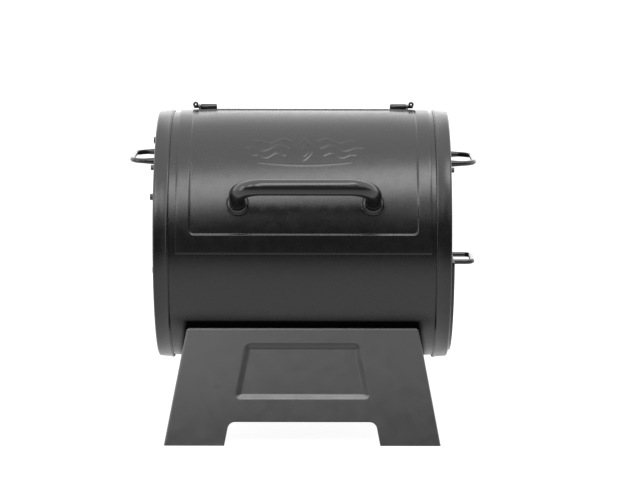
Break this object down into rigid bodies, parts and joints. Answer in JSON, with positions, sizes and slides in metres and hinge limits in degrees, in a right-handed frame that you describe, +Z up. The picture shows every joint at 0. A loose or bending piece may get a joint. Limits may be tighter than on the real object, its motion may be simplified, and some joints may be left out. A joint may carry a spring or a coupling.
{
  "type": "barrel charcoal grill",
  "caption": "Tabletop barrel charcoal grill with a hinged front lid, cast cooking grates, a slide-out half-round charcoal drawer, rotary dampers and folded sheet legs.",
  "frame": {"origin": "on the floor, in the plane of the feet, straight below the middle of the barrel's axis", "axes": "+X along the barrel towards the drawer end, -Y towards the front with the lid handle, +Z up"},
  "size_m": [0.556, 0.4844, 0.5131],
  "materials": {
    "barrel_paint": "satin black heat-proof paint",
    "leg_paint": "satin charcoal grey paint",
    "handle_paint": "semi-gloss black paint",
    "cup_black": "moulded heat-proof black",
    "pan_steel": "matt heat-proof grey, sooty",
    "ledge_steel": "matt black",
    "grate_iron": "rough cast, seasoned",
    "coal_grate_steel": "heat-stained steel rod",
    "fastener_black": "black oxide",
    "pin_steel": "dark zinc"
  },
  "bodies": {
    "firebox": {"barrel_shell": "barrel_paint", "left_end_cap": "barrel_paint", "right_end_cap": "barrel_paint", "front_leg": "leg_paint", "rear_leg": "leg_paint", "leg_bolts": "fastener_black", "leg_nuts": "fastener_black", "left_carry_handle": "handle_paint", "right_carry_handle": "handle_paint", "carry_handle_bolts": "fastener_black", "carry_handle_nuts": "fastener_black", "port_cover": "barrel_paint", "port_bolts": "fastener_black", "port_nuts": "fastener_black", "exhaust_rivet": "fastener_black", "hinge_bracket_left": "handle_paint", "hinge_bracket_right": "handle_paint", "hinge_bolts": "fastener_black", "hinge_nuts": "fastener_black", "front_grate_ledge": "ledge_steel", "rear_grate_ledge": "ledge_steel", "front_drawer_rail": "ledge_steel", "rear_drawer_rail": "ledge_steel"},
    "lid": {"lid_panel": "barrel_paint", "lid_handle": "handle_paint", "lid_handle_plugs": "fastener_black", "lid_handle_cups": "cup_black", "lid_handle_washers": "fastener_black", "lid_handle_screws": "fastener_black", "hinge_knuckles": "handle_paint", "hinge_pin_left": "pin_steel", "hinge_pin_right": "pin_steel", "hinge_clip_left": "pin_steel", "hinge_clip_right": "pin_steel"},
    "drawer": {"drawer_pan": "pan_steel", "drawer_front": "barrel_paint", "drawer_handle": "handle_paint", "drawer_handle_washers": "fastener_black", "drawer_handle_nuts": "fastener_black", "intake_rivet": "fastener_black", "coal_ledges": "ledge_steel"},
    "intake_damper": {"intake_damper": "handle_paint", "intake_damper_knob": "fastener_black"},
    "exhaust_damper": {"exhaust_damper": "handle_paint", "exhaust_damper_knob": "fastener_black"},
    "coal_grate": {"coal_grate": "coal_grate_steel"},
    "cooking_grate_left": {"cooking_grate_left": "grate_iron"},
    "cooking_grate_right": {"cooking_grate_right": "grate_iron"}
  },
  "joints": [
    {"name": "lid_hinge", "type": "hinge", "parent": "firebox", "child": "lid", "pos_m": [0.1683, 0.02147, 0.50427], "axis": [-1, 0, 0], "range_deg": [0, 125]},
    {"name": "drawer_slide", "type": "slide", "parent": "firebox", "child": "drawer", "axis": [1, 0, 0], "range_m": [0, 0.38]},
    {"name": "intake_damper_turn", "type": "hinge", "parent": "drawer", "child": "intake_damper", "pos_m": [0.2394, 0, 0.195], "axis": [1, 0, 0], "range_deg": [0, 60]},
    {"name": "exhaust_damper_turn", "type": "hinge", "parent": "firebox", "child": "exhaust_damper", "pos_m": [-0.2364, 0, 0.341], "axis": [-1, 0, 0], "range_deg": [0, 60]},
    {"name": "coal_grate_lift", "type": "slide", "parent": "drawer", "child": "coal_grate", "axis": [0, 0, 1], "range_m": [0, 0.05]},
    {"name": "cooking_grate_left_lift", "type": "slide", "parent": "firebox", "child": "cooking_grate_left", "axis": [0, 0, 1], "range_m": [0, 0.05]},
    {"name": "cooking_grate_right_lift", "type": "slide", "parent": "firebox", "child": "cooking_grate_right", "axis": [0, 0, 1], "range_m": [0, 0.05]}
  ]
}
